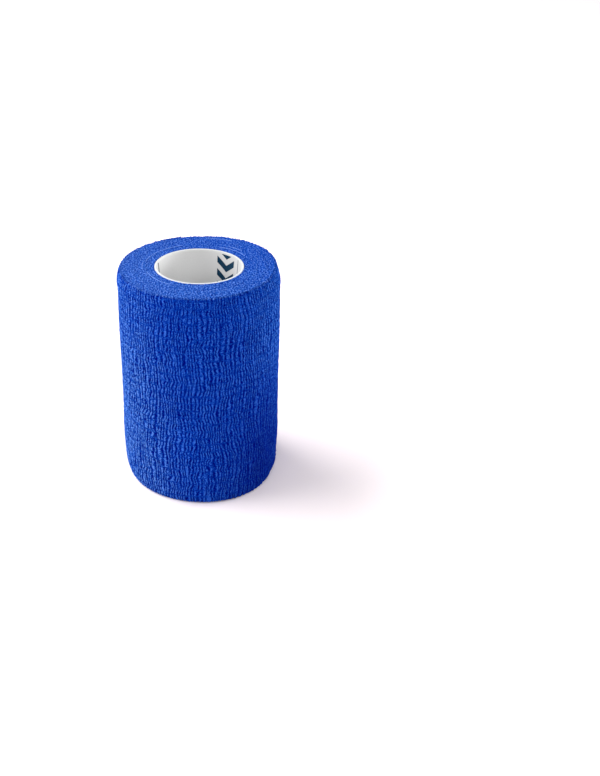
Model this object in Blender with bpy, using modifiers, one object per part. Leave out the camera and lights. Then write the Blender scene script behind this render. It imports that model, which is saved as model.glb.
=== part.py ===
"""Cohesive elastic bandage: one length of crepe cloth wound on a paperboard tube, standing on its end.

Metres, +Z up along the tube. The origin is on the tube's axis, at the foot of the roll.
"""

import math

import bpy
from mathutils import Vector, noise

# Driving dimensions
BANDAGE_WIDTH = 0.075          # width of the cloth, and so the height of the roll
ROLL_RADIUS = 0.0263           # to the crests of the crepe, halfway up the side
CORE_RADIUS = 0.0144           # outside of the paperboard tube
CORE_WALL = 0.0014
CORE_GAP = 0.0003              # between the tube and the first turn of cloth
TURN_THICKNESS = 0.0007        # one relaxed turn of crepe cloth, and the step at its free end

# Crepe ribs, which run up the side of the roll
RIB_COUNT = 104
RIB_DEPTH = 0.00062            # crest to furrow where a rib stands fully
RIB_FADED = 0.25               # share of that depth where a rib has nearly faded out
RIB_MEAN = 0.75                # share of that depth on average
RIB_UNEVENNESS = 0.8           # how strongly the depth changes from place to place
RIB_SAG = 0.4                  # how far a crest sinks where its rib fades, as a share of RIB_DEPTH
RIB_LENGTH = 0.009             # height over which a rib rises and fades
RIB_GROUP = 0.0029             # width round the roll over which neighbouring ribs are alike
RIB_WANDER = 0.0012            # how far a rib strays to either side of its line
WANDER_LENGTH = 0.011          # height over which it strays
WANDER_GROUP = 0.0066          # width round the roll over which ribs stray together
COLUMNS = 2 * RIB_COUNT        # one column of points on each crest and one in each furrow
SIDE_ROWS = 12                 # rows of faces between the two rims

# Free end of the cloth, which lies at the back of the roll
FREE_END_COLUMN = 60           # the last column of the outermost turn
FREE_END_LIFT = 0.0007         # how far its corners spring off the turn beneath
FREE_END_LIFT_COLUMNS = 5      # columns over which it lifts
FREE_END_TUCK = 0.6            # how far the next column is drawn in under it, as a share of a column

# Side of the wound cloth, from its top to its foot.
# Height as a share of BANDAGE_WIDTH, radius as a share of ROLL_RADIUS.
SIDE_SHAPE = (
    # height, radius
    (1.000, 0.967),
    (0.992, 0.980),
    (0.978, 0.989),
    (0.950, 0.994),
    (0.800, 1.002),
    (0.500, 1.000),
    (0.350, 1.001),
    (0.200, 1.011),
    (0.100, 1.008),
    (0.050, 0.999),
    (0.020, 0.986),
    (0.006, 0.981),
    (0.000, 0.973),
)

# Rings of the top end, where bundles of turns stand or sink, from the rim inwards.
# Radius as a share of the way from the tube to the rim, depth below the rim in metres.
END_RINGS = (
    # share, depth
    (0.84, 0.00042),
    (0.68, 0.00005),
    (0.50, 0.00038),
    (0.33, 0.00004),
    (0.16, 0.00045),
    (0.00, 0.00012),
)
END_UNEVENNESS = 0.6           # how strongly a ring's depth changes along it
END_WAVE = 0.0100              # length along a ring over which it changes

CORE_SIDES = 72
SMOOTH_ANGLE = math.radians(50)


def clear_scene():
    """Remove what the scene holds, and leave the file itself as it is."""
    for item in list(bpy.context.scene.objects):
        bpy.data.objects.remove(item, do_unlink=True)


def new_collection(name):
    collection = bpy.data.collections.new(name)
    bpy.context.scene.collection.children.link(collection)
    return collection


def make_material(name, color, roughness, sheen=0.0):
    material = bpy.data.materials.new(name)
    material.use_nodes = True
    shader = material.node_tree.nodes["Principled BSDF"]
    shader.inputs["Base Color"].default_value = (*color, 1.0)
    shader.inputs["Roughness"].default_value = roughness
    shader.inputs["Metallic"].default_value = 0.0
    shader.inputs["Sheen Weight"].default_value = sheen
    material.diffuse_color = (*color, 1.0)
    return material


def side_radius(height):
    """Radius of the crests at a height, read from SIDE_SHAPE with straight lines between its rows."""
    share = height / BANDAGE_WIDTH
    for (upper, upper_radius), (lower, lower_radius) in zip(SIDE_SHAPE, SIDE_SHAPE[1:]):
        if share >= lower:
            blend = (share - lower) / (upper - lower)
            return ROLL_RADIUS * (lower_radius + (upper_radius - lower_radius) * blend)
    return ROLL_RADIUS * SIDE_SHAPE[-1][1]


def side_heights():
    """Heights of the side's rows, top to foot: close together on the rims, even between them."""
    top_rim = [row[0] for row in SIDE_SHAPE[:3]]
    foot_rim = [row[0] for row in SIDE_SHAPE[-3:]]
    span = top_rim[-1] - foot_rim[0]
    between = [top_rim[-1] - span * row / SIDE_ROWS for row in range(1, SIDE_ROWS)]
    return [share * BANDAGE_WIDTH for share in top_rim + between + foot_rim]


def roll_section():
    """Closed half section of the cloth at +X: out along the top end, down the side, in along the foot."""
    bore = CORE_RADIUS + CORE_GAP
    rim = side_radius(BANDAGE_WIDTH)
    top_end = [(bore + (rim - bore) * share, BANDAGE_WIDTH - depth) for share, depth in reversed(END_RINGS)]
    side = [(side_radius(height), height) for height in side_heights()]
    foot = [(bore, 0.0)]
    return top_end, side, foot


def turned_mesh(name, section, steps):
    """Mesh of a closed section turned once about Z by a Screw modifier."""
    mesh = bpy.data.meshes.new(name)
    edges = [(index, (index + 1) % len(section)) for index in range(len(section))]
    mesh.from_pydata([(radius, 0.0, height) for radius, height in section], edges, [])
    blank = bpy.data.objects.new(name, mesh)
    bpy.context.scene.collection.objects.link(blank)
    screw = blank.modifiers.new("turn", "SCREW")
    screw.axis = "Z"
    screw.angle = math.tau
    screw.steps = steps
    screw.render_steps = steps
    screw.use_merge_vertices = False
    depsgraph = bpy.context.evaluated_depsgraph_get()
    turned = bpy.data.meshes.new_from_object(blank.evaluated_get(depsgraph))
    bpy.data.objects.remove(blank, do_unlink=True)
    bpy.data.meshes.remove(mesh)
    turned.name = name
    return turned


def column_angle(column):
    """Angle of a column: all are evenly spaced but the one that is drawn in under the free end."""
    tuck = FREE_END_TUCK if column == FREE_END_COLUMN - 1 else 0.0
    return math.tau * (column + tuck) / COLUMNS


def turn_growth(column, height):
    """How far the outermost turn lies outside the mean radius.

    It spirals out by one thickness a turn, up to its free end, whose corners lift a little more.
    """
    turned = (column - FREE_END_COLUMN) % COLUMNS
    spiral = TURN_THICKNESS * (0.5 - turned / (COLUMNS - 1))
    near_end = max(0.0, 1.0 - turned / FREE_END_LIFT_COLUMNS)
    near_corner = (2.0 * height / BANDAGE_WIDTH - 1.0) ** 2
    return spiral + FREE_END_LIFT * near_end ** 2 * (0.35 + 0.65 * near_corner)


def unevenness(angle, width, layer):
    """Smooth noise from -1 to 1 that joins up round the roll and changes over a width along its side."""
    reach = ROLL_RADIUS / width
    return noise.noise(Vector((reach * math.cos(angle), reach * math.sin(angle), layer)))


def rib_height(column, angle, height):
    """Relief of the crepe at a point of the side, from 0 on a full crest to -RIB_DEPTH in a furrow."""
    fullness = RIB_MEAN + RIB_UNEVENNESS * unevenness(angle, RIB_GROUP, height / RIB_LENGTH)
    fullness = min(max(fullness, RIB_FADED), 1.0)
    if column % 2:
        return -RIB_DEPTH * fullness
    return -RIB_DEPTH * RIB_SAG * (1.0 - fullness)


def rib_wander(angle, height):
    """Sideways stray of the ribs, as an angle, which changes slowly round and up the roll."""
    above_ribs = (BANDAGE_WIDTH + height) / WANDER_LENGTH
    return RIB_WANDER * unevenness(angle, WANDER_GROUP, above_ribs) / ROLL_RADIUS


def end_depth(depth, angle, radius):
    """Depth of a ring of the top end at an angle, which changes along it so that no turn is even."""
    return depth * (1.0 + END_UNEVENNESS * unevenness(angle, END_WAVE, radius / TURN_THICKNESS))


def shape_turns(mesh, ring_count, point_count):
    """Give the turned blank its outermost turn, its crepe ribs and the uneven turns of its top end.

    The points come column by column, each column in the order of the section, and the last of a
    column is the foot of the bore, which stays as it was turned.
    """
    bore_foot = point_count - 1
    for index, vertex in enumerate(mesh.vertices):
        column, place = divmod(index, point_count)
        if place == bore_foot:
            continue
        angle = column_angle(column)
        radius = math.hypot(vertex.co.x, vertex.co.y)
        height = vertex.co.z
        if place < ring_count:
            vertex.co.z = BANDAGE_WIDTH - end_depth(BANDAGE_WIDTH - height, angle, radius)
            continue
        radius += turn_growth(column, height) + rib_height(column, angle, height)
        angle += rib_wander(angle, height)
        vertex.co.x = radius * math.cos(angle)
        vertex.co.y = radius * math.sin(angle)


def make_bandage_roll(collection, material):
    """The wound cloth, as one solid with its turned-down rims, ribs and the step of its free end."""
    top_end, side, foot = roll_section()
    section = top_end + side + foot
    mesh = turned_mesh("bandage_roll", section, COLUMNS)
    shape_turns(mesh, len(top_end), len(section))
    mesh.shade_smooth()
    mesh.set_sharp_from_angle(angle=SMOOTH_ANGLE)
    mesh.materials.append(material)
    roll = bpy.data.objects.new("bandage_roll", mesh)
    collection.objects.link(roll)
    return roll


def make_core_tube(collection, material):
    """The paperboard tube, as long as the cloth is wide."""
    bpy.ops.mesh.primitive_cylinder_add(
        vertices=CORE_SIDES, radius=CORE_RADIUS, depth=BANDAGE_WIDTH, end_fill_type="NOTHING",
        location=(0.0, 0.0, BANDAGE_WIDTH / 2))
    tube = bpy.context.active_object
    tube.name = "core_tube"
    tube.data.name = "core_tube"
    for owner in list(tube.users_collection):
        owner.objects.unlink(tube)
    collection.objects.link(tube)
    wall = tube.modifiers.new("wall", "SOLIDIFY")
    wall.thickness = CORE_WALL
    wall.offset = -1.0
    wall.use_even_offset = True
    tube.data.shade_smooth()
    tube.data.set_sharp_from_angle(angle=SMOOTH_ANGLE)
    tube.data.materials.append(material)
    return tube


def main():
    clear_scene()
    collection = new_collection("cohesive_bandage_roll")
    cloth = make_material("blue_crepe", (0.008, 0.047, 0.381), roughness=0.92, sheen=0.25)
    board = make_material("paperboard", (0.72, 0.70, 0.66), roughness=0.8)
    make_bandage_roll(collection, cloth)
    make_core_tube(collection, board)


main()
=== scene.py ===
"""Looks of a cohesive bandage: one length of blue crepe cloth wound on a paperboard tube.

Metres, +Z up along the tube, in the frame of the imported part. The roll stands on its end. Its
outermost turn is a strip of its own with its cut end at the back, and the turns beneath it are one
wound body. Both are sections swept round the tube, and a node tree raises the crepe on them.
"""

import math

import bmesh
import bpy
from mathutils import Matrix, Vector


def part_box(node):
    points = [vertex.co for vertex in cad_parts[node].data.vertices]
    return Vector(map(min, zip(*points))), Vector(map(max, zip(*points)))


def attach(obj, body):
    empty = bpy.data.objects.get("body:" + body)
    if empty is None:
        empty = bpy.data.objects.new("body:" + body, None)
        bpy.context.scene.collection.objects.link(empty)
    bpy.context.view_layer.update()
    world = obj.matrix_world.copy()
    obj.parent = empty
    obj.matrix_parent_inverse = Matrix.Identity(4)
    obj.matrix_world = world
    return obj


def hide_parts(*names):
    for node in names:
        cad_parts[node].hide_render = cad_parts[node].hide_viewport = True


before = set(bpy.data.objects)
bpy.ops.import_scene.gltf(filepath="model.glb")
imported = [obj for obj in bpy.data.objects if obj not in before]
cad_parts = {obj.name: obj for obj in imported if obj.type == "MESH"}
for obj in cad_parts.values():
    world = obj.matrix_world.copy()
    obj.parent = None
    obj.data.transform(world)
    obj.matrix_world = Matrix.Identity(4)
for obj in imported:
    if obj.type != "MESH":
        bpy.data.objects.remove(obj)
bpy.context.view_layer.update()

MM = 0.001

# Roll, with the part's own sizes
TUBE_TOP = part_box("core_tube")[1]
BANDAGE_WIDTH = TUBE_TOP.z       # width of the cloth, and so the height of the roll
CORE_RADIUS = TUBE_TOP.x         # outside of the paperboard tube
CORE_WALL = 1.4 * MM
CORE_GAP = 0.08 * MM             # between the tube and the first turn of cloth
BORE_RADIUS = CORE_RADIUS + CORE_GAP
ROLL_RADIUS = 26.3 * MM          # to the crests of the crepe, halfway up the side
ROLL_GIRTH = math.tau * ROLL_RADIUS
TURN_THICKNESS = 0.7 * MM

# Side of the wound cloth, from its foot to its top.
# Height as a share of BANDAGE_WIDTH, radius as a share of ROLL_RADIUS.
SIDE_SHAPE = (
    (0.000, 0.973),
    (0.006, 0.981),
    (0.020, 0.987),
    (0.050, 0.995),
    (0.100, 1.001),
    (0.200, 1.010),
    (0.350, 1.002),
    (0.500, 1.000),
    (0.800, 1.002),
    (0.950, 0.994),
    (0.978, 0.989),
    (0.992, 0.980),
    (1.000, 0.967),
)

# Rings of the top end, where bundles of turns stand or sink, from the tube outwards.
# Radius as a share of the way from the tube to the rim, depth below the rim in metres.
END_RINGS = (
    (0.00, -0.10 * MM),
    (0.16, 0.12 * MM),
    (0.33, 0.00 * MM),
    (0.50, 0.16 * MM),
    (0.68, 0.02 * MM),
    (0.84, 0.14 * MM),
    (1.00, 0.00 * MM),
)
BORE_FALL = 0.10 * MM            # how far an end falls away at the tube
BORE_FALL_WIDTH = 0.25 * MM

# Free end of the cloth, which lies at the back of the roll
PART_COLUMNS = 208               # crests and furrows of the part, counted round from +X
FREE_END_COLUMN = 60
FREE_END_ANGLE = math.tau * FREE_END_COLUMN / PART_COLUMNS
FREE_END_LIFT = 0.12 * MM        # how far its corners spring off the turn beneath
FREE_END_MIDDLE = 0.35           # share of that by which its middle springs off
FREE_END_LIFT_LENGTH = 4.0 * MM
FREE_END_STRAY = 0.5 * MM        # how far the cut strays from a straight line
CUT_THINNING = 0.45              # share of its thickness that the cloth loses at the cut
CUT_LENGTH = 2.5 * MM            # over which it thins
TUCK_LENGTH = 7.0 * MM           # how far the strip runs on beneath its own free end
TUCK_TURNS = TUCK_LENGTH / ROLL_GIRTH
TUCK_THINNING = 0.85             # share of its thickness that the strip loses there

# Rows and columns of the swept sections
RIM_ROUND = 0.50 * MM            # height over which the cloth's cut side edges are rounded
CORNER = 0.07 * MM               # cut corner that keeps the shading of a right angle crisp
SIDE_ROWS = 92
ROW_CROWDING = 0.15              # how much closer the side's rows lie at the rims
RIM_ROWS = 8
HIDDEN_ROWS = 5
TOP_ROWS = 76
FOOT_ROWS = 26
TUBE_ROWS = 12
FLARE_ROWS = 6
EDGE_ROWS = 5
STRIP_COLUMNS = 841
INNER_COLUMNS = 700
TUBE_COLUMNS = 256
INNER_CLEARANCE = 0.04 * MM      # between the outermost turn and those beneath it
QUAD_CORNERS = 4

# Crepe of the side
RIDGE_DEPTH = 0.55 * MM
CREST_LEVEL = 0.82               # relief of a common crest, which stands at the roll's radius
RIDGE_PITCH = 1.04 * MM          # at the front and the back
RIDGE_SPREAD = 0.22              # how much less dense the ridges are at the left and right
RIDGE_LENGTH = 10.0 * MM         # height over which a ridge keeps its place
RIDGE_CELL = 1.5 * MM            # width over which neighbouring ridges keep in step
RIDGE_WEIGHT = 0.74
LUMP_WEIGHT = 0.22
LUMP_CONTRAST = 3.2
ZIGZAG = 1.0 * MM                # how far the ridges swing from one yarn to the next
YARN_PITCH = 2.56 * MM           # between the elastic yarns that run round the roll
YARN_STRAY = 0.25 * MM           # how far a yarn strays up and down
YARN_SINK = 0.1                  # how much lower the cloth lies where a yarn gathers it
SURFACE_SWELL = 0.10 * MM        # slow hollows and rises of the wound cloth

# Ranges of the crepe: what is read from low to high gives a value from start to end
RIDGE_FULLNESS = (-0.5, 0.2, 0.50, 1.0)
YARN_PULL = (-0.5, 0.4, 0.20, 0.95)
YARN_WAVE = (0.5, 1.0)
TOP_CALMING = (BANDAGE_WIDTH - 22.0 * MM, BANDAGE_WIDTH - 6.0 * MM, 1.0, 0.8)

# Patches of noise on the cloth: width along it, height and layer
ZIGZAG_PATCH = (9.0 * MM, 7.0 * MM, 21.0)
FULLNESS_PATCH = (1.8 * MM, 2.0 * MM, 77.0)
LUMP_PATCH = (0.44 * MM, 0.8 * MM, 5.5)
GRAIN_PATCH = (0.26 * MM, 0.34 * MM, 31.5)
YARN_PATCH = (9.0 * MM, 9.0 * MM, 40.0)
PULL_PATCH = (6.0 * MM, 4.0 * MM, 50.0)
SWELL_PATCH = (11.0 * MM, 16.0 * MM, 61.0)
EDGE_PATCH = (7.0 * MM, 40.0 * MM, 71.0)
RIM_PATCH = (1.8 * MM, 40.0 * MM, 73.0)
CUT_PATCH = (6.0 * MM, 1.0, 4.0)  # its width is up the cut
RIDGE_STRAYS = (
    # reach along the cloth, patch
    (1.30 * MM, (14.0 * MM, 13.0 * MM, 3.7)),
    (0.42 * MM, (3.4 * MM, 3.0 * MM, 9.1)),
    (0.24 * MM, (1.6 * MM, 1.1 * MM, 17.3)),
)

# The roll isn't quite round. It bulges to the right, stands full or pinched on some of its sides
# near the two rims, and has a squarish foot.
SIDE_BULGE = 0.22 * MM
SHOULDERS = (
    # reach in millimetres, middle in degrees, how narrow it is, and the heights from which and to
    # which it grows as shares of BANDAGE_WIDTH
    (0.90, 44, 2, 0.88, 1.00),
    (0.60, 34, 10, 0.90, 1.00),
    (-1.25, -3, 2, 0.93, 1.00),
    (-0.30, 80, 6, 0.95, 1.00),
    (-0.65, 148, 2, 0.95, 1.00),
    (0.36, 180, 2, 0.88, 0.95),
    (-1.25, -13, 2, 0.05, 0.00),
    (1.15, -58, 2, 0.08, 0.00),
    (-0.62, -140, 2, 0.06, 0.00),
)
FOOT_SIDES = 4
FOOT_SQUARENESS = 0.22 * MM      # how far its foot bulges between those sides
FOOT_HEIGHT = 6.0 * MM

# Felted ends
PIT_DEPTH = 0.34 * MM
GRANULE_LEVEL = 0.70             # relief of a common granule, which stands level with the rim
GRANULE = 0.85 * MM              # between neighbours
GRANULE_LENGTH = 1.4             # how much longer a granule is than wide
BUNDLE = 3.0                     # size of a bundle of granules, in granules
BUNDLE_LAYER = 7.0
TURN_WANDER = 1.3                # by how many turns a turn's line wanders on an end
WANDER_PATCH = (3.0 * MM, 3.0 * MM, 2.0)
FELT_CONTRAST = (0.3, 0.7)
GRANULE_WEIGHT = 0.80
BUNDLE_WEIGHT = 0.06
TURN_WEIGHT = 0.04
PIT_LEVEL = 0.03

# Rims
RIM_RISE = 0.38 * MM             # how much higher the top rim stands at the back right
RIM_RISE_ANGLE = math.radians(42)
RIM_ZONE = 0.97 * BANDAGE_WIDTH  # height above which the cloth follows its rim up and down
OUTER_SHARE = 0.94               # share of the way out from the tube past which it is fluted
EDGE_FADE = 0.9 * MM             # height over which the felted look of an end fades on the side
EDGE_STRAY = 0.12 * MM           # how far the cloth's side edges stray up and down
RIM_FLUTE = 0.26 * MM            # how much deeper the outer rim lies at a furrow than at a crest
RIM_WAVE = 0.26 * MM             # how far the outer rim strays over a ridge or two
CUT_EDGE = (0.2 * MM, 0.7 * MM, 0.9, 0.0)  # felted look of the free end, from its cut on

# Paperboard tube
FLARE_WIDTH = 0.70 * MM          # by which the bore is wider at the tube's two rims
FLARE_DEPTH = 9.0 * MM
TUBE_BEVEL = 0.10 * MM
BEVEL_EASE = 0.3                 # share of the bevel at the point that rounds it
TUBE_BORE = CORE_RADIUS - CORE_WALL
MOUTH_RADIUS = TUBE_BORE + FLARE_WIDTH
BOARD_LAYER = 0.24 * MM
LAYER_WANDER = 0.4               # how far a layer's line wanders, in layers
LAYER_WAVE = (-0.6, 0.6)

# Print on the liner: a band of chevrons down the tube between thin rules
PRINT_ANGLE = math.radians(48)
BAND_WIDTH = 7.0 * MM
BAND_TOP = 0.7 * MM              # below the tube's upper rim
CHEVRON_PITCH = 4.4 * MM
CHEVRON_SLOPE = 0.8
CHEVRON_INKED = 0.52             # share of the pitch that is inked
RULE_TOP = 0.4 * MM
RULES = (
    # angle, width
    (math.radians(22), 0.34 * MM),
    (math.radians(166), 0.7 * MM),
)

# Loose threads on the top end, as arcs of the turns
THREAD_RADIUS = 0.06 * MM
THREAD_SIDES = 6
THREAD_STEPS = 48
THREAD_WAVE = 0.16 * MM
SWAY_PATCH = (1.3 * MM, 1.3 * MM, 3.0)
LIFT_PATCH = (0.9 * MM, 0.9 * MM, 8.0)
THREADS = (
    # radius of the arc, first and last angle in degrees
    (17.7 * MM, 108, 168),
    (18.3 * MM, 171, 189),
    (17.2 * MM, 196, 236),
    (17.0 * MM, 28, 66),
    (18.6 * MM, 41, 58),
    (23.3 * MM, 62, 84),
)

# Colours of the cloth
FURROW_BLUE = (0.0001, 0.0015, 0.172, 1.0)
SIDE_BLUE = (0.0008, 0.043, 0.412, 1.0)
CREST_BLUE = (0.033, 0.145, 0.675, 1.0)
# Colours of the side where light is painted on it, to the left and on the upper right
PAINTED_LIGHT_SIDE_BLUE = (0.004, 0.064, 0.415, 1.0)
PAINTED_LIGHT_CREST_BLUE = (0.114, 0.278, 0.790, 1.0)
PIT_BLUE = (0.001, 0.020, 0.230, 1.0)
EDGE_BLUE = (0.015, 0.089, 0.440, 1.0)
FLECK_BLUE = (0.130, 0.264, 0.760, 1.0)
THREAD_BLUE = (0.120, 0.270, 0.780, 1.0)
PALE_THREAD_BLUE = (0.240, 0.420, 0.900, 1.0)
SHEEN_BLUE = (0.12, 0.40, 1.0, 1.0)

# Where one colour of the cloth gives way to the next, as relief that is worn a little: painted shade in the
# furrows and pits, painted highlight on the crests and granules, whose fibres are also worn pale
FURROW_TO_SIDE = (0.18, 0.51)
SIDE_TO_CREST = (0.54, 0.94)
PIT_TO_EDGE = (0.18, 0.52)
EDGE_TO_FLECK = (0.58, 0.96)
FELTED_SIDE = (0.58, 1.0)        # how felted the side has to be to look like an end
FRAY_LEVEL = 0.56                # relief above which pale fibres of the rim run down the side
FRAYING = (0.8, 1.0, 1.3, 0.0)   # how strongly they show, from the side to the very rim

# Where light and shade are painted on the cloth, paler for painted light and deeper for painted shade, and
# where it is deeper in random clouds: x as a share of ROLL_RADIUS from -1 to 1, heights in metres
# Painted light on the left of the side
PAINTED_LIGHT_LEFT = (0.0, -0.8)
PAINTED_LIGHT_LEFT_LEAN = 0.23           # how much further left its border lies at the top
PAINTED_LIGHT_LEFT_FADE = (40.0 * MM, 66.0 * MM, 1.0, 0.72)
PAINTED_LIGHT_LEFT_CONTRAST = 0.2
# Painted light on the upper right of the side
PAINTED_LIGHT_RIGHT = (0.45, 0.85)
PAINTED_LIGHT_RIGHT_RISE = (34.0 * MM, 60.0 * MM)
PAINTED_LIGHT_RIGHT_CRESTS = 0.35
# Painted shade on the lower right of the side
PAINTED_SHADE_RIGHT = (0.1, 0.8)
PAINTED_SHADE_FOOT = (50.0 * MM, 16.0 * MM, 0.0, 0.64)
# Painted light on the left of the ends, and painted shade at their back right
PAINTED_LIGHT_END = (0.6, -1.0, 0.0, 0.08)
PAINTED_SHADE_END = (-0.4, 1.2, 0.0, 0.22)
CLOUDS = (0.0, 1.0, 0.0, 0.2)

# What is finer than the mesh
FIBRE = 0.22 * MM
CLOUD = 9.0 * MM
THREAD_FIBRE = 0.25 * MM
BOARD_FIBRE = 0.5 * MM
# The grain and fibres also add to the tone that sets the painted shade and highlight of the relief
GRAIN_WEAR = 1.1                 # how strongly the grain of the crepe wears its relief
FIBRE_WEAR = 0.10
END_FIBRE_WEAR = 0.7
GRAIN_BUMP = 0.22 * MM
FIBRE_BUMP = 0.12 * MM
BOARD_BUMP = 0.03 * MM
LAYER_BUMP = 0.02 * MM

# Colours of the tube
LINER_WHITE = (0.85, 0.85, 0.845, 1.0)
PALE_LINER_WHITE = (0.91, 0.91, 0.905, 1.0)
# Painted shade on the liner, darker towards the right of the bore
PAINTED_SHADE_LINER_GREY = (0.53, 0.53, 0.535, 1.0)
PAINTED_SHADE_LINER = (-0.5, 0.8)         # from left to right, as a share of CORE_RADIUS
DARK_LAYER_GREY = (0.50, 0.525, 0.54, 1.0)
PALE_LAYER_GREY = (0.68, 0.71, 0.73, 1.0)
INK_TEAL = (0.0005, 0.028, 0.066, 1.0)
INK_WEAR = (0.0, 0.4, 0.93, 1.0)

# Camera, fitted to the photograph
IMAGE_WIDTH = 600
IMAGE_HEIGHT = 776
LENS = 50.0
SENSOR = 36.0
CAMERA_DISTANCE = 0.36765
CAMERA_ELEVATION = math.radians(28.655)
CAMERA_ROLL = math.radians(0.762)
TARGET_PIXEL = (200.8, 367.69)   # where the middle of the roll shows, from the top left

# Stage
FLOOR_REACH = 3.0                # from the roll to the floor's edges
FLOOR_WHITE = (0.96, 0.88, 0.885, 1.0)
PALE_FLOOR_WHITE = (0.97, 0.895, 0.90, 1.0)
FLOOR_CLOUD = 0.25
FLOOR_GLOW = (0.6, 1.4)          # distances from the roll over which the floor starts to glow
FLOOR_GLOW_STRENGTH = 0.4
BLACK = (0.0, 0.0, 0.0, 1.0)
WHITE = (1.0, 1.0, 1.0, 1.0)
SKY_STRENGTH = 0.22
SOFTBOXES = (
    # name, place, size, power
    ("left_softbox", (-0.90, 0.32, 0.82), 1.3, 30.3),
    ("top_softbox", (0.0, -0.2, 1.30), 1.4, 6.5),
    ("right_softbox", (0.85, 0.30, 0.24), 0.4, 5.6),
    ("front_softbox", (0.1, -1.1, 0.60), 0.8, 4.2),
)

# Kinds of node tree and socket
SHAPE_TREE = "GeometryNodeTree"
FINISH_TREE = "ShaderNodeTree"
TREE_USE = {SHAPE_TREE: "shape", FINISH_TREE: "finish"}
GROUP_NODE = {SHAPE_TREE: "GeometryNodeGroup", FINISH_TREE: "ShaderNodeGroup"}
GEOMETRY = "NodeSocketGeometry"
VECTOR = "NodeSocketVector"
FLOAT = "NodeSocketFloat"
INTEGER = "NodeSocketInt"
MATERIAL = "NodeSocketMaterial"


def add_object(name, data):
    """Object of the scene that holds a mesh, a light or a camera."""
    made = bpy.data.objects.new(name, data)
    bpy.context.scene.collection.objects.link(made)
    return made


# ---- node trees

def formula(operation, swapped=False):
    """Operator of a field, which adds one Math node."""
    if swapped:
        return lambda self, other: self.graph.math(operation, other, self)
    return lambda self, other: self.graph.math(operation, self, other)


class Field:
    """A node's output that takes part in formulas."""

    def __init__(self, graph, socket):
        self.graph = graph
        self.socket = socket

    __add__ = formula("ADD")
    __radd__ = formula("ADD", swapped=True)
    __sub__ = formula("SUBTRACT")
    __rsub__ = formula("SUBTRACT", swapped=True)
    __mul__ = formula("MULTIPLY")
    __rmul__ = formula("MULTIPLY", swapped=True)
    __truediv__ = formula("DIVIDE")
    __rtruediv__ = formula("DIVIDE", swapped=True)
    __pow__ = formula("POWER")


class Graph:
    """Adds nodes to a tree and links them."""

    def __init__(self, tree):
        self.tree = tree

    def put(self, socket, value):
        """Link a socket to a field, or set its constant."""
        if isinstance(value, Field):
            self.tree.links.new(value.socket, socket)
        else:
            socket.default_value = value

    def node(self, kind, inputs=None, **settings):
        made = self.tree.nodes.new(kind)
        for name, value in settings.items():
            setattr(made, name, value)
        for name, value in (inputs or {}).items():
            self.put(made.inputs[name], value)
        return made

    def field(self, kind, inputs=None, output=0, **settings):
        return Field(self, self.node(kind, inputs, **settings).outputs[output])

    def group(self, name, inputs):
        """A node group placed in this tree, as its output fields by name."""
        made = self.node(GROUP_NODE[self.tree.bl_idname], inputs, node_tree=bpy.data.node_groups[name])
        return {output.name: Field(self, output) for output in made.outputs}

    def math(self, operation, *values, clamp=False):
        made = self.node("ShaderNodeMath", operation=operation, use_clamp=clamp)
        for socket, value in zip(made.inputs, values):
            self.put(socket, value)
        return Field(self, made.outputs[0])

    def cosine(self, angle):
        return self.math("COSINE", angle)

    def wave(self, turns):
        """Cosine of an angle given in whole turns."""
        return self.math("COSINE", turns * math.tau)

    def length(self, x, y):
        return self.math("SQRT", x * x + y * y)

    def vector(self, x, y, z=0.0):
        return self.field("ShaderNodeCombineXYZ", {"X": x, "Y": y, "Z": z})

    def polar(self, radius, angle, height):
        """Place at a radius from the tube's axis, an angle round from +X and a height."""
        return self.vector(radius * self.cosine(angle), radius * self.math("SINE", angle), height)

    def split(self, vector):
        made = self.node("ShaderNodeSeparateXYZ", {"Vector": vector})
        return tuple(Field(self, socket) for socket in made.outputs)

    def noise(self, vector, detail=0.0, roughness=0.5):
        """Smooth noise from 0 to 1 over cells of one unit."""
        return self.field("ShaderNodeTexNoise", {
            "Vector": vector, "Scale": 1.0, "Detail": detail, "Roughness": roughness})

    def patches(self, x, y, patch):
        """Smooth noise from 0 to 1 over patches with a width, a height and a layer."""
        width, height, layer = patch
        return self.noise(self.vector(x / width, y / height, layer))

    def swell(self, x, y, patch):
        """Smooth noise from -1 to 1 over such patches."""
        return self.patches(x, y, patch) * 2.0 - 1.0

    def ramp(self, value, low, high, start=0.0, end=1.0, smooth=False):
        """Value taken from low..high to start..end and held there."""
        return self.field("ShaderNodeMapRange", {
            "Value": value, "From Min": low, "From Max": high, "To Min": start, "To Max": end},
            interpolation_type="SMOOTHSTEP" if smooth else "LINEAR")

    def mix_colors(self, share, first, second):
        made = self.node("ShaderNodeMix", data_type="RGBA")
        for identifier, value in (("Factor_Float", share), ("A_Color", first), ("B_Color", second)):
            socket = next(s for s in made.inputs if s.identifier == identifier)
            self.put(socket, value)
        return Field(self, next(s for s in made.outputs if s.identifier == "Result_Color"))

    def stored(self, name):
        """A float that an earlier node of this tree, or the mesh, keeps under a name."""
        return self.field("GeometryNodeInputNamedAttribute", {"Name": name}, data_type="FLOAT")

    def store(self, geometry, name, value):
        return self.field("GeometryNodeStoreNamedAttribute", {
            "Geometry": geometry, "Name": name, "Value": value}, data_type="FLOAT", domain="POINT")


def new_group(name, kind, inputs, outputs):
    """An empty node group with named sockets, as its graph, its input fields and its output node."""
    tree = bpy.data.node_groups.new(name, kind)
    for label, socket_kind, value in inputs:
        socket = tree.interface.new_socket(label, in_out="INPUT", socket_type=socket_kind)
        if value is not None:
            socket.default_value = value
    for label, socket_kind in outputs:
        tree.interface.new_socket(label, in_out="OUTPUT", socket_type=socket_kind)
    graph = Graph(tree)
    entry = graph.node("NodeGroupInput")
    fields = {label: Field(graph, entry.outputs[label]) for label, _, _ in inputs}
    return graph, fields, graph.node("NodeGroupOutput")


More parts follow.
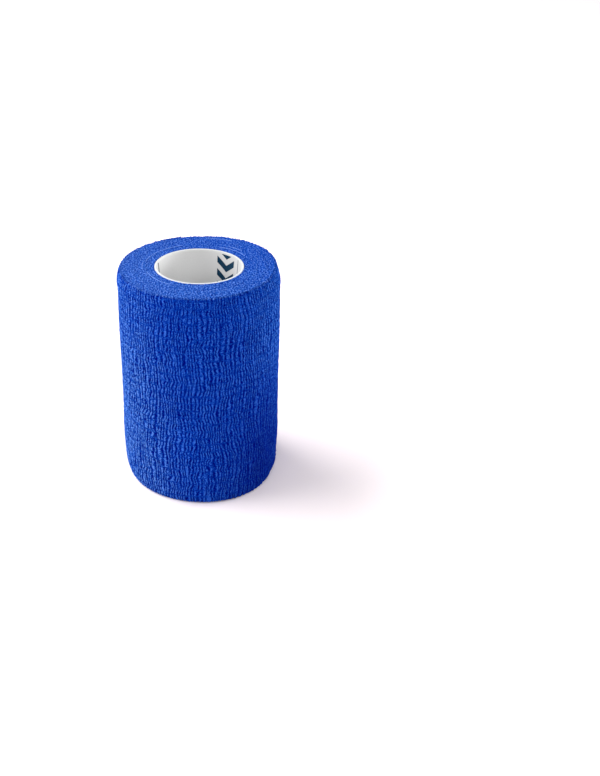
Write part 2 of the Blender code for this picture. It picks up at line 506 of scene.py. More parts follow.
# ---- sections of the wound cloth

def row(from_axis, height, inset=0.0, share=0.0, crepe=0.0, felt=0.0):
    """Point of a section: its radius and height, whether it lies on its turn's outer face (0) or its
    inner one (1), its share of the way out from the tube, and how fully crepe and felt stand there."""
    return {"from_axis": from_axis, "height": height, "inset": inset, "share": share,
            "crepe": crepe, "felt": felt}


def smooth_table(rows, place):
    """Value of a two-column table at a place, on a smooth curve through its rows."""
    last = len(rows) - 2
    index = next((i for i in range(last) if place < rows[i + 1][0]), last)

    def slope(i):
        before = rows[max(i - 1, 0)]
        after = rows[min(i + 1, len(rows) - 1)]
        return (after[1] - before[1]) / (after[0] - before[0])

    (start, first), (end, second) = rows[index], rows[index + 1]
    width = end - start
    t = (place - start) / width
    ease = t * t * (3.0 - 2.0 * t)
    leave = slope(index) * width * t * (1.0 - t) ** 2
    arrive = slope(index + 1) * width * t * t * (t - 1.0)
    return first + (second - first) * ease + leave + arrive


def side_radius(height):
    """Radius of the crests at a height, where the cloth is wound to its mean thickness."""
    return ROLL_RADIUS * smooth_table(SIDE_SHAPE, height / BANDAGE_WIDTH)


def bore_fall(from_bore):
    """How far an end of the wound turns falls away towards the tube."""
    return BORE_FALL * max(0.0, 1.0 - from_bore / BORE_FALL_WIDTH) ** 2


def rim_rows(radius, height, first, last):
    """Rows of a cut side edge, a quarter round as wide as the cloth is thick."""
    rows = []
    for step in range(1, RIM_ROWS + 1):
        angle = first + (last - first) * step / (RIM_ROWS + 1)
        inset = 1.0 - math.cos(angle)
        rise = math.sin(angle)
        rows.append(row(radius - TURN_THICKNESS * inset, height + RIM_ROUND * rise, inset,
                        share=1.0, crepe=1.0 - 0.4 * inset, felt=rise * rise))
    return rows


def strip_section():
    """Closed section of the outermost turn: up its outer face, over the rim and down its inner face."""
    low = RIM_ROUND
    high = BANDAGE_WIDTH - RIM_ROUND
    rows = []
    for step in range(SIDE_ROWS + 1):
        t = step / SIDE_ROWS
        height = low + (high - low) * (t - ROW_CROWDING * math.sin(math.tau * t) / math.tau)
        rows.append(row(side_radius(height), height, share=1.0, crepe=1.0))
    rows += rim_rows(side_radius(high), high, 0.0, math.pi / 2)
    inner_high = side_radius(high) - TURN_THICKNESS
    rows.append(row(inner_high + CORNER, BANDAGE_WIDTH, inset=0.9, share=1.0, crepe=0.5, felt=1.0))
    rows.append(row(inner_high, BANDAGE_WIDTH - CORNER, inset=1.0, share=1.0, crepe=0.3, felt=0.5))
    hidden_top = BANDAGE_WIDTH - 3 * CORNER
    for step in range(HIDDEN_ROWS + 1):
        height = hidden_top - hidden_top * step / HIDDEN_ROWS
        held = min(max(height, low), high)
        rows.append(row(side_radius(held) - TURN_THICKNESS, height, inset=1.0, share=1.0))
    rows += rim_rows(side_radius(low), low, -math.pi / 2, 0.0)
    return rows


def inner_section():
    """Closed section of the turns beneath: out along the foot, up, in over the top end, down the bore."""
    back = TURN_THICKNESS + INNER_CLEARANCE
    high = BANDAGE_WIDTH - RIM_ROUND
    low = RIM_ROUND
    top_reach = side_radius(high) - back - BORE_RADIUS
    foot_reach = side_radius(low) - back - BORE_RADIUS
    rows = []
    for step in range(FOOT_ROWS + 1):
        share = step / FOOT_ROWS
        height = bore_fall(share * foot_reach)
        rows.append(row(BORE_RADIUS + foot_reach * share, height, inset=1.0, share=share, felt=1.0))
    for step in range(HIDDEN_ROWS + 1):
        height = low + (high - low) * step / HIDDEN_ROWS
        rows.append(row(side_radius(height) - back, height, inset=1.0, share=1.0))
    rows.append(row(side_radius(high) - back, BANDAGE_WIDTH - CORNER, inset=1.0, share=1.0, felt=0.5))
    for step in range(TOP_ROWS + 1):
        share = 1.0 - max(step, 0.5) / TOP_ROWS
        height = BANDAGE_WIDTH - smooth_table(END_RINGS, share) - bore_fall(share * top_reach)
        rows.append(row(BORE_RADIUS + top_reach * share, height, inset=1.0, share=share, felt=1.0))
    for step in range(1, HIDDEN_ROWS):
        height = high + (low - high) * step / HIDDEN_ROWS
        rows.append(row(BORE_RADIUS, height))
    return rows


def section_host(name, rows):
    """Object of a closed polyline at +X, whose points keep what the sweep needs to know of them."""
    count = len(rows)
    mesh = bpy.data.meshes.new(name)
    points = [(each["from_axis"], 0.0, each["height"]) for each in rows]
    mesh.from_pydata(points, [(index, (index + 1) % count) for index in range(count)], [])
    leans = []
    for index in range(count):
        run = Vector(points[(index + 1) % count]) - Vector(points[index - 1])
        leans.append(math.atan2(-run.x, run.z))
    columns = {label: [each[label] for each in rows] for label in rows[0]}
    columns["lean"] = leans
    for label, values in columns.items():
        mesh.attributes.new(label, "FLOAT", "POINT").data.foreach_set("value", values)
    return add_object(name, mesh)


# ---- node groups of the shape

def crepe_group(kind):
    """Relief of the crepe at a place of the cloth, from 0 in a furrow to 1 on a crest."""
    graph, given, result = new_group("crepe_relief_" + TREE_USE[kind], kind, (
        ("Along", FLOAT, 0.0),
        ("Height", FLOAT, 0.0),
        ("Ridge Pitch", FLOAT, RIDGE_PITCH),
        ("Ridge Length", FLOAT, RIDGE_LENGTH),
        ("Yarn Pitch", FLOAT, YARN_PITCH),
    ), (("Relief", FLOAT), ("Grain", FLOAT)))
    along, height = given["Along"], given["Height"]

    # The ridges stray along the cloth and zigzag between the yarns
    strayed = along
    for reach, patch in RIDGE_STRAYS:
        strayed = strayed + reach * graph.swell(along, height, patch)
    zigzag = graph.math("PINGPONG", height / given["Yarn Pitch"], 1.0) - 0.5
    strayed = strayed + ZIGZAG * (zigzag * graph.swell(along, height, ZIGZAG_PATCH))

    gabor = graph.field("ShaderNodeTexGabor", {
        "Vector": graph.vector(strayed / RIDGE_CELL, height / given["Ridge Length"]),
        "Scale": 1.0, "Frequency": RIDGE_CELL / given["Ridge Pitch"],
        "Anisotropy": 1.0, "Orientation": 0.0,
    }, output="Phase", gabor_type="2D")
    fullness = graph.ramp(graph.swell(strayed, height, FULLNESS_PATCH), *RIDGE_FULLNESS)

    # Lumps break the ridges up, and grains lie on them
    lump = LUMP_CONTRAST * (graph.patches(strayed, height, LUMP_PATCH) - 0.5)
    ridge = RIDGE_WEIGHT * graph.wave(gabor) * fullness + LUMP_WEIGHT * lump

    # Each yarn gathers the cloth, so that the ridges sink where it runs
    yarn_height = height + YARN_STRAY * graph.swell(along, height, YARN_PATCH)
    on_yarn = graph.ramp(graph.wave(yarn_height / given["Yarn Pitch"]), *YARN_WAVE, smooth=True)
    pinch = on_yarn * graph.ramp(graph.swell(along, height, PULL_PATCH), *YARN_PULL)
    ridge = ridge * (1.0 - pinch) - YARN_SINK * pinch
    ridge = ridge * graph.ramp(height, *TOP_CALMING)

    graph.put(result.inputs["Relief"], graph.ramp(ridge, -1.0, 1.0))
    graph.put(result.inputs["Grain"], graph.patches(strayed, height, GRAIN_PATCH))
    return graph.tree


def felt_group(kind):
    """Relief of an end of the roll, where the cut edges of the turns stand in granules: 0 in a pit."""
    graph, given, result = new_group("felt_relief_" + TREE_USE[kind], kind, (
        ("Place", VECTOR, None),
        ("Granule", FLOAT, GRANULE),
        ("Turn Thickness", FLOAT, TURN_THICKNESS),
    ), (("Relief", FLOAT),))
    x, y, _ = graph.split(given["Place"])
    size = given["Granule"]
    granules = graph.field("ShaderNodeTexGabor", {
        "Vector": graph.vector(x / size, y / (GRANULE_LENGTH * size)),
        "Scale": 1.0, "Frequency": 1.0, "Anisotropy": 0.0,
    }, output="Value", gabor_type="2D")
    bundles = graph.patches(x, y, (BUNDLE * size, BUNDLE * size, BUNDLE_LAYER))
    wander = graph.patches(x, y, WANDER_PATCH) * TURN_WANDER
    turned = (graph.math("ARCTAN2", y, x) - FREE_END_ANGLE) / math.tau
    turn = graph.wave((graph.length(x, y) - BORE_RADIUS) / given["Turn Thickness"] + turned + wander)
    relief = graph.ramp(granules, *FELT_CONTRAST) * GRANULE_WEIGHT
    relief = relief + graph.ramp(bundles, *FELT_CONTRAST) * BUNDLE_WEIGHT
    graph.put(result.inputs["Relief"], relief + (turn + 1.0) * TURN_WEIGHT + PIT_LEVEL)
    return graph.tree


def sweep_group():
    """Sweep of a section along a path, whose points keep how many turns lie between them and its start."""
    graph, given, result = new_group("sweep_section", SHAPE_TREE, (
        ("Section", GEOMETRY, None),
        ("Path", GEOMETRY, None),
        ("Turns", FLOAT, 1.0),
    ), (("Mesh", GEOMETRY),))
    way = graph.field("GeometryNodeSplineParameter", output="Factor")
    path = graph.store(given["Path"], "turned", way * given["Turns"])
    profile = graph.field("GeometryNodeMeshToCurve", {"Mesh": given["Section"]})
    mesh = graph.field("GeometryNodeCurveToMesh", {
        "Curve": path, "Profile Curve": profile, "Fill Caps": True})
    graph.put(result.inputs["Mesh"], mesh)
    return graph.tree


def swept_section(graph, given, strip):
    """The tree's section, swept along an open path for a strip and round a closed one for a body."""
    if strip:
        line = graph.field("GeometryNodeCurvePrimitiveLine")
        path = graph.field("GeometryNodeResampleCurve", {"Curve": line, "Count": given["Columns"]})
    else:
        path = graph.field("GeometryNodeCurvePrimitiveCircle", {"Resolution": given["Columns"]})
    return graph.group("sweep_section", {
        "Section": given["Geometry"], "Path": path, "Turns": given["Turns"]})["Mesh"]


def free_end_growth(graph, given, near_end, along, height, inset, turned):
    """How far the strip springs off at its free end, and how it thins there and beneath itself."""
    near_corner = (height * (2.0 / BANDAGE_WIDTH) - 1.0) ** 2.0
    lift = given["End Lift"] * (near_end ** 2.0)
    lift = lift * (FREE_END_MIDDLE + (1.0 - FREE_END_MIDDLE) * near_corner)
    cut = graph.ramp(along, 0.0, CUT_LENGTH, CUT_THINNING, 0.0, smooth=True)
    tail = graph.ramp(turned, 1.0, 1.0 + TUCK_TURNS, 0.0, TUCK_THINNING)
    thickness = given["Turn Thickness"]
    return lift + thickness * (inset - 0.5) * cut + thickness * inset * tail


def unroundness(graph, angle, height):
    """How far the side stands out past that of a round roll."""
    bulge = SIDE_BULGE * (graph.cosine(angle) * 0.5 + 0.5)
    for reach, middle, narrowness, far, near in SHOULDERS:
        facing = graph.math("MAXIMUM", graph.cosine(angle - math.radians(middle)), 0.0)
        nearness = graph.ramp(height, far * BANDAGE_WIDTH, near * BANDAGE_WIDTH, smooth=True)
        bulge = bulge + reach * MM * facing ** narrowness * nearness
    squareness = FOOT_SQUARENESS * graph.cosine(angle * FOOT_SIDES)
    return bulge - squareness * graph.ramp(height, FOOT_HEIGHT, 0.0, smooth=True)


def rim_height(graph, angle, along, height, share, crepe_relief):
    """How far the top rim stands above BANDAGE_WIDTH, with its strays and flutes."""
    up_down = EDGE_STRAY * graph.swell(along, height, EDGE_PATCH)
    flute = RIM_FLUTE * (crepe_relief - 0.5) + RIM_WAVE * graph.swell(along, height, RIM_PATCH)
    flute = flute * graph.ramp(share, OUTER_SHARE, 1.0)
    rise = RIM_RISE * (graph.cosine(angle - RIM_RISE_ANGLE) * 0.5 + 0.5)
    return up_down + flute + rise


def finished_tree(graph, result, mesh, smooth, material):
    """The tree, once it shades its mesh, makes it real and gives it its material."""
    mesh = graph.field("GeometryNodeSetShadeSmooth", {"Geometry": mesh, "Shade Smooth": smooth})
    mesh = graph.field("GeometryNodeRealizeInstances", {"Geometry": mesh})
    mesh = graph.field("GeometryNodeSetMaterial", {"Geometry": mesh, "Material": material})
    graph.put(result.inputs["Geometry"], mesh)
    return graph.tree


def wound_tree(name, strip):
    """Tree that winds a section of cloth round the tube and gives it its crepe and its felted ends."""
    graph, given, result = new_group(name, SHAPE_TREE, (
        ("Geometry", GEOMETRY, None),
        ("Columns", INTEGER, 8),
        ("Turns", FLOAT, 1.0),
        ("First Angle", FLOAT, 0.0),
        ("Turn Thickness", FLOAT, TURN_THICKNESS),
        ("Ridge Depth", FLOAT, RIDGE_DEPTH),
        ("Pit Depth", FLOAT, PIT_DEPTH),
        ("End Lift", FLOAT, 0.0),
        ("Cloth", MATERIAL, None),
    ), (("Geometry", GEOMETRY),))
    swept = swept_section(graph, given, strip)
    turned, radius, height, inset = map(graph.stored, ("turned", "from_axis", "height", "inset"))
    share, lean, crepe_weight, felt_weight = map(graph.stored, ("share", "lean", "crepe", "felt"))
    thickness = given["Turn Thickness"]

    # The crepe's own way along the cloth runs slower at the left and right, where its ridges lie
    # wider: it loses the integral of the angle's squared cosine
    angle = given["First Angle"] + turned * math.tau
    along = turned * ROLL_GIRTH
    lost = along * 0.5 + graph.math("SINE", angle * 2.0) * (ROLL_RADIUS / 4)
    crepe_along = along - RIDGE_SPREAD * lost

    # The spiral, and the two ends of the strip
    growth = thickness * (0.5 - turned)
    if strip:
        near_end = graph.math("MAXIMUM", 1.0 - along / FREE_END_LIFT_LENGTH, 0.0)
        growth = growth + free_end_growth(graph, given, near_end, along, height, inset, turned)
        cut_stray = FREE_END_STRAY * graph.swell(height, 0.0, CUT_PATCH)
        angle = angle + cut_stray * near_end / ROLL_RADIUS
    else:
        growth = growth - thickness * graph.ramp(turned, 0.0, TUCK_TURNS, 1.0, 0.0)
    swell = SURFACE_SWELL * graph.swell(along, height, SWELL_PATCH)
    radius = radius + share * (growth + swell + unroundness(graph, angle, height))

    # Relief stands square to the section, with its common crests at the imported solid's face
    crepe_relief = graph.group("crepe_relief_shape", {"Along": crepe_along, "Height": height})["Relief"]
    felt_place = graph.polar(radius, angle, height)
    felt_relief = graph.group("felt_relief_shape", {"Place": felt_place})["Relief"]
    sink = given["Ridge Depth"] * (crepe_relief - CREST_LEVEL) * crepe_weight
    sink = sink + given["Pit Depth"] * (felt_relief - GRANULE_LEVEL) * felt_weight
    upper = graph.ramp(height, RIM_ZONE, BANDAGE_WIDTH)
    rim = rim_height(graph, angle, along, height, share, crepe_relief)
    raised = height + sink * graph.math("SINE", lean) + rim * upper * share
    radius = radius + sink * graph.cosine(lean)
    place = graph.polar(radius, angle, graph.math("MAXIMUM", raised, 0.0))
    mesh = graph.field("GeometryNodeSetPosition", {"Geometry": swept, "Position": place})

    # What the cloth's material reads
    mesh = graph.store(mesh, "along", crepe_along)
    near_rim = graph.ramp(height, BANDAGE_WIDTH - EDGE_FADE, BANDAGE_WIDTH)
    edge = graph.math("MAXIMUM", felt_weight, near_rim)
    if strip:
        edge = graph.math("MAXIMUM", edge, graph.ramp(along, *CUT_EDGE))
    mesh = graph.store(mesh, "edge", edge)
    for label in ("from_axis", "inset", "share", "crepe", "felt", "lean", "turned"):
        mesh = graph.field("GeometryNodeRemoveAttribute", {"Geometry": mesh, "Name": label})

    # The strip's two cut ends are the only faces with more corners than a quad, and they stay flat
    corners = graph.field("GeometryNodeInputMeshFaceNeighbors")
    smooth = graph.math("LESS_THAN", corners, QUAD_CORNERS + 0.5)
    return finished_tree(graph, result, mesh, smooth, given["Cloth"])


def grown(host, tree, values):
    """Plain piece that a tree makes from its host, with the tree's inputs set by name."""
    modifier = host.modifiers.new("grow", "NODES")
    modifier.node_group = tree
    for item in tree.interface.items_tree:
        if item.item_type == "SOCKET" and item.in_out == "INPUT" and item.name in values:
            modifier[item.identifier] = values[item.name]
    depsgraph = bpy.context.evaluated_depsgraph_get()
    mesh = bpy.data.meshes.new_from_object(host.evaluated_get(depsgraph))
    name = host.name
    host_mesh = host.data
    bpy.data.objects.remove(host, do_unlink=True)
    bpy.data.meshes.remove(host_mesh)
    mesh.name = name
    turn_outwards(mesh)
    return add_object(name, mesh)


def turn_outwards(mesh):
    """Turn every face of a closed mesh outwards."""
    shape = bmesh.new()
    shape.from_mesh(mesh)
    bmesh.ops.recalc_face_normals(shape, faces=shape.faces)
    shape.to_mesh(mesh)
    shape.free()


def wind_cloth(cloth):
    """The outermost turn and the turns beneath it."""
    crepe_group(SHAPE_TREE)
    felt_group(SHAPE_TREE)
    sweep_group()
    outer = grown(section_host("outer_turn", strip_section()), wound_tree("wind_outer_turn", True), {
        "Columns": STRIP_COLUMNS, "Turns": 1.0 + TUCK_TURNS, "First Angle": FREE_END_ANGLE,
        "End Lift": FREE_END_LIFT, "Cloth": cloth})
    inner = grown(section_host("inner_turns", inner_section()), wound_tree("wind_inner_turns", False), {
        "Columns": INNER_COLUMNS, "First Angle": FREE_END_ANGLE, "Cloth": cloth})
    return outer, inner


# ---- tube

def even_steps(first, last, steps):
    """Rows from one point to another in even steps, both of them included."""
    shares = [step / steps for step in range(steps + 1)]
    return [row(first[0] + (last[0] - first[0]) * t, first[1] + (last[1] - first[1]) * t) for t in shares]


def tube_section():
    """Closed section of the tube: up its outer face, in over its cut edge and down its flared bore."""
    bevel = TUBE_BEVEL
    eased = BEVEL_EASE * TUBE_BEVEL
    top = BANDAGE_WIDTH
    outer_edge = CORE_RADIUS - bevel
    inner_edge = MOUTH_RADIUS + bevel
    rows = [row(outer_edge, 0.0), row(CORE_RADIUS - eased, eased)]
    rows += even_steps((CORE_RADIUS, bevel), (CORE_RADIUS, top - bevel), TUBE_ROWS)
    rows.append(row(CORE_RADIUS - eased, top - eased))
    rows += even_steps((outer_edge, top), (inner_edge, top), EDGE_ROWS)
    rows.append(row(MOUTH_RADIUS + eased, top - eased))
    rows += even_steps((MOUTH_RADIUS, top - bevel), (TUBE_BORE, top - FLARE_DEPTH), FLARE_ROWS)
    rows += even_steps((TUBE_BORE, top - FLARE_DEPTH - bevel), (TUBE_BORE, FLARE_DEPTH + bevel), TUBE_ROWS)
    rows += even_steps((TUBE_BORE, FLARE_DEPTH), (MOUTH_RADIUS, bevel), FLARE_ROWS)
    rows.append(row(MOUTH_RADIUS + eased, eased))
    rows += even_steps((inner_edge, 0.0), (outer_edge, 0.0), EDGE_ROWS)[:-1]
    return rows


def core_piece(board):
    """The tube, swept by the same tree without crepe or felt."""
    return grown(section_host("core_liner", tube_section()), wound_tree("turn_core", False), {
        "Columns": TUBE_COLUMNS, "Ridge Depth": 0.0, "Pit Depth": 0.0, "Cloth": board})


# ---- threads

def thread_height(radius, angle):
    """Height of a thread that lies on the granules of the top end."""
    share = (radius - BORE_RADIUS) / (side_radius(BANDAGE_WIDTH) - TURN_THICKNESS - BORE_RADIUS)
    rise = RIM_RISE * (0.5 + 0.5 * math.cos(angle - RIM_RISE_ANGLE)) * share
    return BANDAGE_WIDTH - smooth_table(END_RINGS, share) + rise + 0.5 * THREAD_RADIUS


def thread_tree():
    """Tree that gives lines a thread's thickness and small waves."""
    graph, given, result = new_group("lay_threads", SHAPE_TREE, (
        ("Geometry", GEOMETRY, None),
        ("Thread Radius", FLOAT, THREAD_RADIUS),
        ("Wave", FLOAT, THREAD_WAVE),
        ("Thread", MATERIAL, None),
    ), (("Geometry", GEOMETRY),))
    x, y, z = graph.split(graph.field("GeometryNodeInputPosition"))
    sway = graph.patches(x, y, SWAY_PATCH) - 0.5
    lift = graph.patches(x, y, LIFT_PATCH) - 0.5
    stretch = 1.0 + sway * given["Wave"] * 2.0 / BORE_RADIUS
    place = graph.vector(x * stretch, y * stretch, z + lift * given["Wave"])
    lines = graph.field("GeometryNodeSetPosition", {"Geometry": given["Geometry"], "Position": place})
    curves = graph.field("GeometryNodeMeshToCurve", {"Mesh": lines})
    round_section = graph.field("GeometryNodeCurvePrimitiveCircle", {
        "Resolution": THREAD_SIDES, "Radius": given["Thread Radius"]})
    mesh = graph.field("GeometryNodeCurveToMesh", {
        "Curve": curves, "Profile Curve": round_section, "Fill Caps": True})
    return finished_tree(graph, result, mesh, True, given["Thread"])


def thread_piece(thread):
    """Threads that came loose from the cut edges of the turns and lie on the top end."""
    points = []
    edges = []
    for radius, first, last in THREADS:
        start = len(points)
        for step in range(THREAD_STEPS + 1):
            angle = math.radians(first + (last - first) * step / THREAD_STEPS)
            points.append((radius * math.cos(angle), radius * math.sin(angle), thread_height(radius, angle)))
        edges += [(start + step, start + step + 1) for step in range(THREAD_STEPS)]
    mesh = bpy.data.meshes.new("edge_threads")
    mesh.from_pydata(points, edges, [])
    return grown(add_object("edge_threads", mesh), thread_tree(), {"Thread": thread})


# ---- materials

def new_material(name):
    """Material with an empty tree, as the material and its graph."""
    material = bpy.data.materials.new(name)
    material.use_nodes = True
    material.node_tree.nodes.clear()
    return material, Graph(material.node_tree)


def finish_material(graph, inputs):
    """Give a material's surface what its tree makes."""
    shader = graph.field("ShaderNodeBsdfPrincipled", inputs)
    graph.node("ShaderNodeOutputMaterial", {"Surface": shader})


def object_place(graph):
    return graph.field("ShaderNodeTexCoord", output="Object")


def attribute(graph, name):
    return graph.field("ShaderNodeAttribute", attribute_name=name, output="Fac")


def bump(graph, relief, strength):
    """Normal of a surface with a relief in metres."""
    return graph.field("ShaderNodeBump", {
        "Height": relief, "Distance": 1.0, "Strength": strength}, output="Normal")


def fibre_group():
    """Short fibres of cloth or board: a tone from 0 to 1 that changes over their size."""
    graph, given, result = new_group("fibre_tone", FINISH_TREE, (
        ("Place", VECTOR, None),
        ("Detail", FLOAT, 2.0),
        ("Contrast", FLOAT, 1.0),
    ), (("Tone", FLOAT),))
    fine = graph.noise(given["Place"], detail=given["Detail"], roughness=0.6)
    graph.put(result.inputs["Tone"], graph.math("ADD", (fine - 0.5) * given["Contrast"], 0.5, clamp=True))
    return graph.tree


def fibre_tone(graph, size, detail, contrast=1.0):
    """Tone of fibres of a size in metres."""
    place = graph.field("ShaderNodeVectorMath", {
        0: object_place(graph), "Scale": 1.0 / size}, operation="SCALE")
    return graph.group("fibre_tone", {"Place": place, "Detail": detail, "Contrast": contrast})["Tone"]


def side_color(graph, wear_and_relief_shade, x, z):
    """Colour of the crepe: painted shade in its furrows, painted highlight on its crests, whose fibres are
    also worn pale, painted light to the left and on the upper right, and painted shade low on the right.
    """
    # Painted light on the left and on the upper right of the side
    across = x / ROLL_RADIUS
    painted_light_left = graph.ramp(across + z * (PAINTED_LIGHT_LEFT_LEAN / BANDAGE_WIDTH), *PAINTED_LIGHT_LEFT, smooth=True)
    painted_light_left = painted_light_left * graph.ramp(z, *PAINTED_LIGHT_LEFT_FADE)
    painted_light_right = graph.ramp(across, *PAINTED_LIGHT_RIGHT) * graph.ramp(z, *PAINTED_LIGHT_RIGHT_RISE)
    painted_light_side = graph.math("MAXIMUM", painted_light_left, painted_light_right)
    painted_light_crests = graph.math("MAXIMUM", painted_light_left, painted_light_right * PAINTED_LIGHT_RIGHT_CRESTS)
    side_blue = graph.mix_colors(painted_light_side, SIDE_BLUE, PAINTED_LIGHT_SIDE_BLUE)
    crest_blue = graph.mix_colors(painted_light_crests, CREST_BLUE, PAINTED_LIGHT_CREST_BLUE)
    # The painted shade and highlight of the relief grow stronger where light is painted on the left
    wear_and_relief_shade = wear_and_relief_shade + (wear_and_relief_shade - 0.5) * painted_light_left * PAINTED_LIGHT_LEFT_CONTRAST
    # Painted shade in the furrows and painted highlight on the crests, whose fibres are also worn pale
    color = graph.mix_colors(graph.ramp(wear_and_relief_shade, *FURROW_TO_SIDE), FURROW_BLUE, side_blue)
    color = graph.mix_colors(graph.ramp(wear_and_relief_shade, *SIDE_TO_CREST), color, crest_blue)
    # Painted shade on the lower right of the side
    painted_shade = graph.ramp(across, *PAINTED_SHADE_RIGHT, smooth=True) * graph.ramp(z, *PAINTED_SHADE_FOOT)
    return graph.mix_colors(painted_shade, color, FURROW_BLUE)


def end_color(graph, wear_and_relief_shade, x, y):
    """Colour of the felted ends: painted shade in their pits, painted highlight on their granules, which are
    flecked, painted light to the left and painted shade at the back right.
    """
    # Painted shade in the pits and painted highlight on the granules, flecked with fibre
    color = graph.mix_colors(graph.ramp(wear_and_relief_shade, *PIT_TO_EDGE), PIT_BLUE, EDGE_BLUE)
    color = graph.mix_colors(graph.ramp(wear_and_relief_shade, *EDGE_TO_FLECK), color, FLECK_BLUE)
    # Painted light on the left of the ends, and painted shade at their back right
    color = graph.mix_colors(graph.ramp(x / ROLL_RADIUS, *PAINTED_LIGHT_END), color, FLECK_BLUE)
    back_right = (x + y) / ROLL_RADIUS
    return graph.mix_colors(graph.ramp(back_right, *PAINTED_SHADE_END), color, SIDE_BLUE)


def crepe_cloth():
    """Matt blue crepe, with the felted look of its cut edges on the ends and at the rims."""
    material, graph = new_material("blue_crepe_cloth")
    place = object_place(graph)
    x, y, z = graph.split(place)
    crepe = graph.group("crepe_relief_finish", {
        "Along": attribute(graph, "along"), "Height": attribute(graph, "height")})
    felt = graph.group("felt_relief_finish", {"Place": place})["Relief"]
    fibres = fibre_tone(graph, FIBRE, detail=2.0, contrast=2.0)
    cloudy = fibre_tone(graph, CLOUD, detail=1.0, contrast=1.6)
    grain = crepe["Grain"] - 0.5
    fibre = fibres - 0.5
    side = side_color(graph, crepe["Relief"] + grain * GRAIN_WEAR + fibre * FIBRE_WEAR, x, z)
    end = end_color(graph, felt + fibre * END_FIBRE_WEAR, x, y)

    # Pale fibres of the rim run down the crests of the side
    edge = attribute(graph, "edge")
    frayed = (crepe["Relief"] - FRAY_LEVEL) * graph.ramp(edge, *FRAYING)
    color = graph.mix_colors(graph.ramp(edge + frayed, *FELTED_SIDE), side, end)
    color = graph.mix_colors(graph.ramp(cloudy, *CLOUDS), color, FURROW_BLUE)

    # The mesh holds the ridges and granules, and the bump what is finer than its faces
    finer = grain * GRAIN_BUMP + fibre * FIBRE_BUMP
    finish_material(graph, {
        "Base Color": color,
        "Roughness": graph.ramp(fibres, 0.0, 1.0, 0.82, 0.95),
        "Normal": bump(graph, finer, 1.0),
        "Specular IOR Level": 0.0,
        "Sheen Weight": 0.07,
        "Sheen Roughness": 0.35,
        "Sheen Tint": SHEEN_BLUE,
    })
    return material


def loose_thread():
    material, graph = new_material("pale_blue_thread")
    fibres = fibre_tone(graph, THREAD_FIBRE, detail=2.0, contrast=1.6)
    finish_material(graph, {
        "Base Color": graph.mix_colors(fibres, THREAD_BLUE, PALE_THREAD_BLUE),
        "Roughness": graph.ramp(fibres, 0.0, 1.0, 0.6, 0.8),
        "Specular IOR Level": 0.2,
    })
    return material


def print_ink(graph, angle, from_top):
    """Mask of the print on the liner: 1 where it is inked."""
    across = graph.math("ABSOLUTE", angle - PRINT_ANGLE) * TUBE_BORE
    chevron = graph.math("FRACT", (from_top + across * CHEVRON_SLOPE) / CHEVRON_PITCH)
    ink = graph.math("LESS_THAN", chevron, CHEVRON_INKED) * graph.math("LESS_THAN", across, BAND_WIDTH / 2)
    ink = ink * graph.math("GREATER_THAN", from_top, BAND_TOP)
    for rule_angle, rule_width in RULES:
        from_rule = graph.math("ABSOLUTE", angle - rule_angle) * TUBE_BORE
        on_rule = graph.math("LESS_THAN", from_rule, rule_width / 2)
        ink = ink + on_rule * graph.math("GREATER_THAN", from_top, RULE_TOP)
    return graph.math("MINIMUM", ink, 1.0)


def paperboard():
    """Wound paperboard: a pale printed liner inside the tube with painted shade towards its right, cream
    layers in its cut edge.
    """
    material, graph = new_material("pale_paperboard")
    fibres = fibre_tone(graph, BOARD_FIBRE, detail=3.0, contrast=1.4)
    x, y, z = graph.split(object_place(graph))
    radius = graph.length(x, y)
    liner = graph.mix_colors(fibres, LINER_WHITE, PALE_LINER_WHITE)
    # Painted shade on the liner towards the right of the bore
    liner = graph.mix_colors(graph.ramp(x / CORE_RADIUS, *PAINTED_SHADE_LINER), liner, PAINTED_SHADE_LINER_GREY)

    # Cut edge with the layers of the board
    layer = graph.wave(radius / BOARD_LAYER + fibres * LAYER_WANDER)
    layers = graph.mix_colors(graph.ramp(layer, *LAYER_WAVE), DARK_LAYER_GREY, PALE_LAYER_GREY)
    on_cut = graph.ramp(radius, MOUTH_RADIUS, MOUTH_RADIUS + TUBE_BEVEL)
    color = graph.mix_colors(on_cut, liner, layers)

    ink = print_ink(graph, graph.math("ARCTAN2", y, x), BANDAGE_WIDTH - z)
    ink = ink * graph.math("LESS_THAN", radius, MOUTH_RADIUS) * graph.ramp(fibres, *INK_WEAR)
    color = graph.mix_colors(ink, color, INK_TEAL)

    relief = fibres * BOARD_BUMP + layer * LAYER_BUMP * on_cut
    finish_material(graph, {
        "Base Color": color,
        "Roughness": 0.62,
        "Normal": bump(graph, relief, 0.6),
        "Specular IOR Level": 0.15,
    })
    return material


def floor_paint():
    """White floor that glows faintly far from the roll, where the lamps no longer reach."""
    material, graph = new_material("white_floor")
    tone = fibre_tone(graph, FLOOR_CLOUD, detail=1.0)
    x, y, _ = graph.split(object_place(graph))
    glow = graph.mix_colors(graph.ramp(graph.length(x, y), *FLOOR_GLOW), BLACK, WHITE)
    finish_material(graph, {
        "Base Color": graph.mix_colors(tone, FLOOR_WHITE, PALE_FLOOR_WHITE),
        "Roughness": 0.9,
        "Specular IOR Level": 0.0,
        "Emission Color": glow,
        "Emission Strength": FLOOR_GLOW_STRENGTH,
    })
    return material


# ---- stage

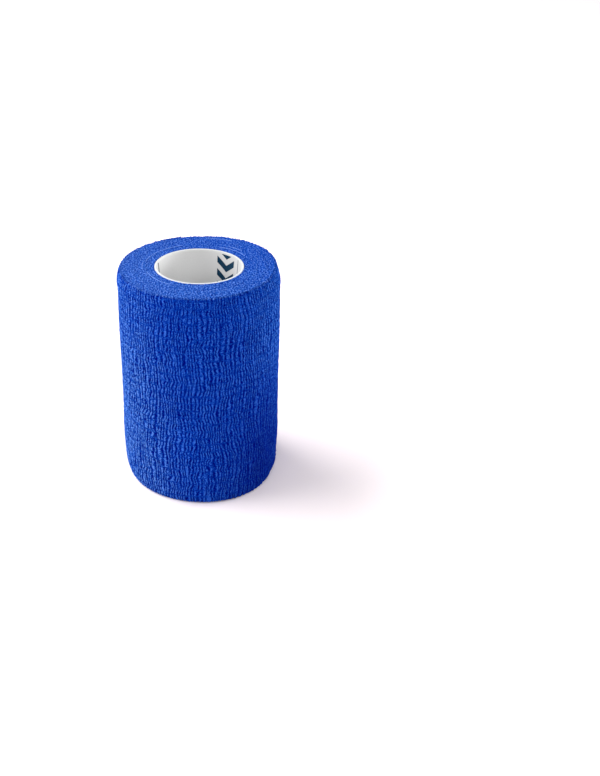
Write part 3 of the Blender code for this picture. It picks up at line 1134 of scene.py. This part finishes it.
def set_camera():
    """Camera whose picture holds the roll as the photograph does, left of its middle."""
    focal = LENS / SENSOR * IMAGE_HEIGHT
    e = CAMERA_ELEVATION
    back = Vector((0.0, -math.cos(e), math.sin(e)))
    axes = Matrix((Vector((1.0, 0.0, 0.0)), Vector((0.0, math.sin(e), math.cos(e))), back)).transposed()
    towards = Vector((TARGET_PIXEL[0] - IMAGE_WIDTH / 2, IMAGE_HEIGHT / 2 - TARGET_PIXEL[1], -focal))
    swing = Vector((0.0, 0.0, -1.0)).rotation_difference(towards).to_matrix()
    rotation = axes @ (swing @ Matrix.Rotation(CAMERA_ROLL, 3, "Z")).transposed()
    target = Vector((0.0, 0.0, BANDAGE_WIDTH / 2))
    data = bpy.data.cameras.new("camera")
    data.lens = LENS
    data.sensor_fit = "VERTICAL"
    data.sensor_height = SENSOR
    data.clip_start = 0.01
    data.clip_end = 20.0
    camera = add_object("camera", data)
    camera.matrix_world = Matrix.Translation(target + CAMERA_DISTANCE * back) @ rotation.to_4x4()
    bpy.context.scene.camera = camera


def add_softbox(name, place, size, power):
    """Square soft light that faces the middle of the roll."""
    data = bpy.data.lights.new(name, "AREA")
    data.size = size
    data.energy = power
    light = add_object(name, data)
    light.location = place
    aim = Vector((0.0, 0.0, BANDAGE_WIDTH / 2)) - Vector(place)
    light.rotation_euler = aim.to_track_quat("-Z", "Y").to_euler()


def set_floor():
    reach = FLOOR_REACH
    corners = [(-reach, -reach, 0.0), (reach, -reach, 0.0), (reach, reach, 0.0), (-reach, reach, 0.0)]
    mesh = bpy.data.meshes.new("floor")
    mesh.from_pydata(corners, [], [(0, 1, 2, 3)])
    mesh.materials.append(floor_paint())
    floor = add_object("floor", mesh)


def set_lights():
    world = bpy.data.worlds.new("studio")
    world.use_nodes = True
    sky = world.node_tree.nodes["Background"]
    sky.inputs["Color"].default_value = WHITE
    sky.inputs["Strength"].default_value = SKY_STRENGTH
    bpy.context.scene.world = world
    bpy.context.scene.view_settings.view_transform = "Standard"
    for name, place, size, power in SOFTBOXES:
        add_softbox(name, place, size, power)


# ---- roll

fibre_group()
crepe_group(FINISH_TREE)
felt_group(FINISH_TREE)
set_camera()
set_floor()
set_lights()
cloth = crepe_cloth()
board = paperboard()
outer_turn, inner_turns = wind_cloth(cloth)
core_liner = core_piece(board)
edge_threads = thread_piece(loose_thread())

for piece in (outer_turn, inner_turns):
    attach(piece, "root")
    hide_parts("bandage_roll")
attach(edge_threads, "root")
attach(core_liner, "root")
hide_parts("core_tube")
